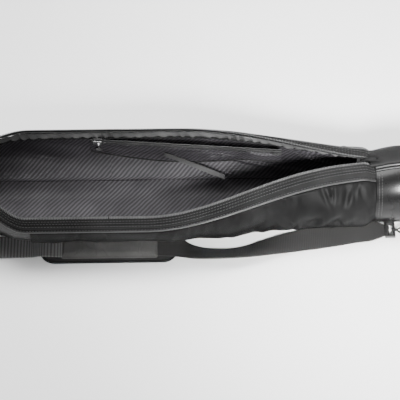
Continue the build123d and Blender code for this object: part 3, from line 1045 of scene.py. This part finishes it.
pocket_tape("upper", -0.008, -0.0014, ["pocket_zipper_tapes"])
pocket_tape("lower", 0.0014, 0.008, [])
fine_pitch = 0.0016
coil_places = []
for i in range(int(0.262 / fine_pitch)):
    x = pocket_low.x + 0.002 + i * fine_pitch
    p = pocket_point(x, pocket_top, 0.0062)
    q = pocket_point(x, pocket_top + 0.001, 0.0062)
    coil_places.append(frame_at(p, q - p, Vector((0, -1, 0))))
pocket_coil = many("pocket_coil", capsule(0.0030, 0.0006), coil_places)
dress(pocket_coil, coil_nylon, "rear_side", "zipper")

end_low, end_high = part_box("pocket_end_tab")


def pocket_end(u, v):
    x = mix(end_low.x, end_high.x, u)
    return pocket_point(x, pocket_top + mix(-0.009, 0.009, v), 0.0078 + 0.0012 * noise_at(u * 3, v * 3, 41.0))


end_tab = cloth("pocket_end_fabric_tab", pocket_end, (12, 14), (0.011, 0.018), behind_pocket, 0.0010)
dress(end_tab, tape_cloth, "rear_side", "webbing", ["pocket_end_tab"])

tape_low, tape_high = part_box("inner_tape")


def inner_tape(u, v):
    x = mix(tape_low.x, tape_high.x, u)
    down = mix(0.042, 0.084, u) + 0.010 * v
    lift = 0.0012 * math.sin(math.pi * u) + 0.0006 * noise_at(u * 6, v, 44.0)
    return pocket_point(x, down, 0.0086 + lift)


tape = cloth("inner_flat_tape", inner_tape, (50, 6), (0.094, 0.010), behind_pocket, 0.0010)
dress(tape, light_tape, "rear_side", "webbing", ["inner_tape"])

# ---------------------------------------------------------------- shoulder strap
pad_low, pad_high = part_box("shoulder_pad")
sleeve_low, sleeve_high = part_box("pad_sleeve")
strap_width = 0.038
strap_thick = 0.0016


def curve_through(stations, u):
    """Catmull-Rom through equal-length tuples, u from 0 to 1."""
    n = len(stations) - 1
    i = min(int(u * n), n - 1)
    t = u * n - i
    p = [stations[min(max(i + k, 0), n)] for k in (-1, 0, 1, 2)]
    return [
        0.5 * (2 * b + (c - a) * t + (2 * a - 5 * b + 4 * c - d) * t * t + (3 * b - a - 3 * c + d) * t**3)
        for a, b, c, d in zip(*p)
    ]


def ribbon(name, stations_mm, finish, replaced):
    """A strap through stations (x, y, z, width, roll), in millimetres and degrees."""
    stations = [(x / 1000, y / 1000, z / 1000, width / 1000, roll) for x, y, z, width, roll in stations_mm]
    total = sum(math.dist(a[:3], b[:3]) for a, b in zip(stations, stations[1:]))

    def place(u, v):
        x, y, z, width, roll = curve_through(stations, u)
        off = (v - 0.5) * width
        a = math.radians(roll)
        wave = 0.0004 * noise_at(x * 30, v, 51.0)
        low = z + off * math.sin(a) + wave
        return Vector((x, y + off * math.cos(a), max(low, strap_thick + 0.0003)))

    obj = cloth(name, place, (int(total / 0.0035), 12), (total, strap_width),
                lambda p: Vector((p.x, p.y, -0.2)), strap_thick)
    dress(obj, finish, root, "webbing", replaced)


# Each webbing runs between the pad's sleeve and a hook's eye, where it is gathered narrow
into_sleeve = 7.9
ribbon("strap_webbing_right", [
    (-36, -67, into_sleeve, 38, 0), (-9, -70, 8.6, 38, -2), (14, -82, 10.5, 38, -22),
    (46, -87, 12, 38, -30), (80, -84, 11.0, 38, -28), (122, -70, 7.0, 38, -12), (164, -57, 2.6, 38, 0),
    (207, -50, 2.4, 38, 0), (236, -44, 2.4, 38, 0), (260, -40.5, 2.8, 38, 0), (272, -41.5, 4.8, 29, 0),
    (280, -43.5, 6.4, 20, 0), (287, -44, 6.9, 18.5, 0),
], fine_webbing, ["strap_right"])
ribbon("strap_webbing_left", [
    (-302.6, -48, 7.4, 18, 0), (-296, -53, 5.4, 27, 0), (-288, -60.5, 3.6, 37, 0), (-270, -63, 3.4, 38, 0),
    (-240, -63, 3.4, 38, 0), (-212, -63, 3.6, 38, 0), (-196, -65, 7.5, 38, 0),
    (-168, -67, into_sleeve, 38, 0),
], webbing, ["strap_left"])


def rounded_box(u, v, low, high, corner):
    """Maps the unit square to a rectangle with round corners."""
    x, y = 2 * u - 1, 2 * v - 1
    half_x, half_y = (high.x - low.x) / 2, (high.y - low.y) / 2
    far = max(abs(x), abs(y))
    if far == 0:
        return (low.x + high.x) / 2, (low.y + high.y) / 2
    ex, ey = x / far * half_x, y / far * half_y
    cx, cy = half_x - corner, half_y - corner
    if abs(ex) > cx and abs(ey) > cy:
        d = Vector((abs(ex) - cx, abs(ey) - cy))
        d = d.normalized() * corner if d.length else d
        ex, ey = math.copysign(cx + d.x, ex), math.copysign(cy + d.y, ey)
    return (low.x + high.x) / 2 + ex * far, (low.y + high.y) / 2 + ey * far


def pillow(name, low, high, corner, height_at, counts, finish, replaced, fill):
    """A pad with a flat underside on the floor: a top grid, a rim round it and a plain bottom."""
    size = (high.x - low.x, high.y - low.y)

    def place(u, v):
        x, y = rounded_box(u, v, low, high, corner)
        return Vector((x, y, height_at(u, v)))

    top = cloth(name, place, counts, size, lambda p: Vector((p.x, p.y, -1)), 0)
    form = bmesh.new()
    form.from_mesh(top.data)
    made = bmesh.ops.extrude_edge_only(form, edges=[e for e in form.edges if e.is_boundary])
    ring = [v for v in made["geom"] if isinstance(v, bmesh.types.BMVert)]
    for v in ring:
        v.co.z = low.z + 0.0006
    bmesh.ops.contextual_create(form, geom=[e for e in form.edges if e.is_boundary])
    bmesh.ops.recalc_face_normals(form, faces=form.faces)
    form.to_mesh(top.data)
    form.free()
    activate(top)
    bpy.ops.object.shade_smooth_by_angle(angle=math.radians(65))
    dress(top, finish, root, "webbing", replaced)


def edge_fall(u, v, width_u, width_v):
    """1 in the middle of a pad, falling to 0 at its edges."""
    along = min(smooth(0, width_u, u), smooth(0, width_u, 1 - u))
    return min(along, smooth(0, width_v, v), smooth(0, width_v, 1 - v))


def pad_height(u, v):
    return 0.0026 + 0.0022 * edge_fall(u, v, 0.04, 0.16) + 0.0003 * noise_at(u * 12, v * 4, 61.0)


def sleeve_height(u, v):
    wrinkle = 0.0010 * crease(u * 9, v * 1.5, 63.0, 0.08) * edge_fall(u, v, 0.1, 0.2)
    return 0.0072 + 0.0026 * edge_fall(u, v, 0.03, 0.22) + 0.0007 * noise_at(u * 14, v * 3, 62.0) - wrinkle


pad_corner = 0.018
pillow("pad_cushion", pad_low, pad_high, pad_corner, pad_height, (110, 34), pad_cloth, ["shoulder_pad"], 0.6)
once_round = (
    [(i / 40, 0.0) for i in range(40)] + [(1.0, i / 20) for i in range(20)]
    + [(1 - i / 40, 1.0) for i in range(40)] + [(0.0, 1 - i / 20) for i in range(21)]
)
rim = [Vector((*rounded_box(*p, pad_low, pad_high, pad_corner), 0.0026)) for p in once_round]
pad_binding = cord_bead("pad_edge_binding", rim, 0.0019)
dress(pad_binding, dark_tape, root, "webbing")
sleeve_corners = Vector((sleeve_low.x, sleeve_low.y, 0.0052)), Vector((sleeve_high.x, sleeve_high.y, 0.0088))
pillow("sleeve_cover", *sleeve_corners, 0.003, sleeve_height, (120, 34), sleeve_cloth, ["pad_sleeve"], 0.4)
for label, x in (("left", sleeve_low.x + 0.0035), ("left_inner", sleeve_low.x + 0.0065),
                 ("right", sleeve_high.x - 0.0035), ("right_inner", sleeve_high.x - 0.0065)):
    route = [Vector((x, mix(sleeve_low.y + 0.003, sleeve_high.y - 0.003, i / 30), 0.0101)) for i in range(31)]
    row = stitches(f"sleeve_stitches_{label}", route, 0.0034, lambda p: Vector((0, 0, 1)), length=0.0024)
    dress(row, thread, root, "webbing")


def ring_loop(sign, end):
    """The webbing loop that holds a ring under one end of the bag."""
    ring_low, ring_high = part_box(f"strap_ring_{end}")
    bar_x = ring_high.x - 0.0016 if sign > 0 else ring_low.x + 0.0016
    bar_y, bar_z = (ring_low.y + ring_high.y) / 2, (ring_low.z + ring_high.z) / 2
    loop_r = 0.0024

    def place(u, v):
        y = bar_y + mix(-0.008, 0.008, v)
        top = min(end_r - math.sqrt(max(end_r**2 - y * y, 0)) + 0.0012, 0.0335)
        turn = math.pi * (u - 0.25) / 0.5
        if u < 0.25:
            return Vector((bar_x + loop_r, y, mix(top, bar_z, u / 0.25)))
        if u > 0.75:
            return Vector((bar_x - loop_r, y, mix(bar_z, top, (u - 0.75) / 0.25)))
        return Vector((bar_x + loop_r * math.cos(turn), y, bar_z - loop_r * math.sin(turn)))

    tab = cloth(f"ring_loop_{end}", place, (48, 12), (0.044, 0.016),
                lambda p: Vector((bar_x, p.y, max(p.z, bar_z))), 0.0012)
    dress(tab, webbing, root, "webbing", ["ring_tabs"] if end == "right" else [])


ring_loop(1, "right")
ring_loop(-1, "left")

# ---------------------------------------------------------------- hardware that keeps its CAD shape
def finish_hardware(finish, *nodes):
    for node in nodes:
        for slot in frame["nodes"][node].material_slots:
            slot.material = finish


finish_hardware(dark_metal, "main_zip_slider", "main_zip_pull", "zipper_end_stops")
finish_hardware(pale_metal, "pocket_slider", "pocket_pull")
finish_hardware(black_plastic, "strap_buckle")
for end in ("right", "left"):
    finish_hardware(dark_metal, f"strap_ring_{end}", f"snap_hook_{end}", f"hook_gate_{end}")
    finish_hardware(black_plastic, f"hook_eye_{end}")

# ---------------------------------------------------------------- floor, light and camera
deselect()
bpy.ops.mesh.primitive_plane_add(size=12, location=(0, 0, 0))
ground = bpy.context.object
ground.name = "floor"
white, tree, bsdf = begin("pale floor")
bsdf.inputs["Base Color"].default_value = (0.93, 0.93, 0.93, 1)
bsdf.inputs["Roughness"].default_value = 0.9
ground.data.materials.append(white)

world = bpy.data.worlds.new("studio")
bpy.context.scene.world = world
world.use_nodes = True
world.node_tree.nodes["Background"].inputs["Color"].default_value = (1, 1, 1, 1)
world.node_tree.nodes["Background"].inputs["Strength"].default_value = 0.28


def softbox(name, place, aim, size, watts, spread=180):
    light = bpy.data.lights.new(name, "AREA")
    light.shape = "RECTANGLE"
    light.size, light.size_y = size
    light.energy = watts
    light.spread = math.radians(spread)
    obj = bpy.data.objects.new(name, light)
    bpy.context.collection.objects.link(obj)
    obj.location = place
    obj.rotation_mode = "QUATERNION"
    obj.rotation_quaternion = (Vector(aim) - Vector(place)).to_track_quat("-Z", "Y")


softbox("softbox above", (-0.1, 0.25, 1.7), (0, 0, 0), (1.8, 0.8), 76)
softbox("softbox front right", (0.42, -1.5, 1.10), (0.34, 0, 0.06), (0.45, 0.30), 6.5, spread=32)

view_azimuth, view_elevation = math.radians(-1.0), math.radians(48.0)
aim = Vector((0.024, 0.0, 0.0254))
distance, field = 3.2, 0.560
back = Vector((
    math.sin(view_azimuth) * math.cos(view_elevation),
    -math.cos(view_azimuth) * math.cos(view_elevation),
    math.sin(view_elevation),
))
lens = bpy.data.cameras.new("camera")
lens.sensor_width = 36
lens.lens = 36 * distance / field
lens.clip_end = 50
camera = bpy.data.objects.new("camera", lens)
bpy.context.collection.objects.link(camera)
camera.location = aim + back * distance
camera.rotation_mode = "QUATERNION"
camera.rotation_quaternion = (-back).to_track_quat("-Z", "Y")
bpy.context.scene.camera = camera
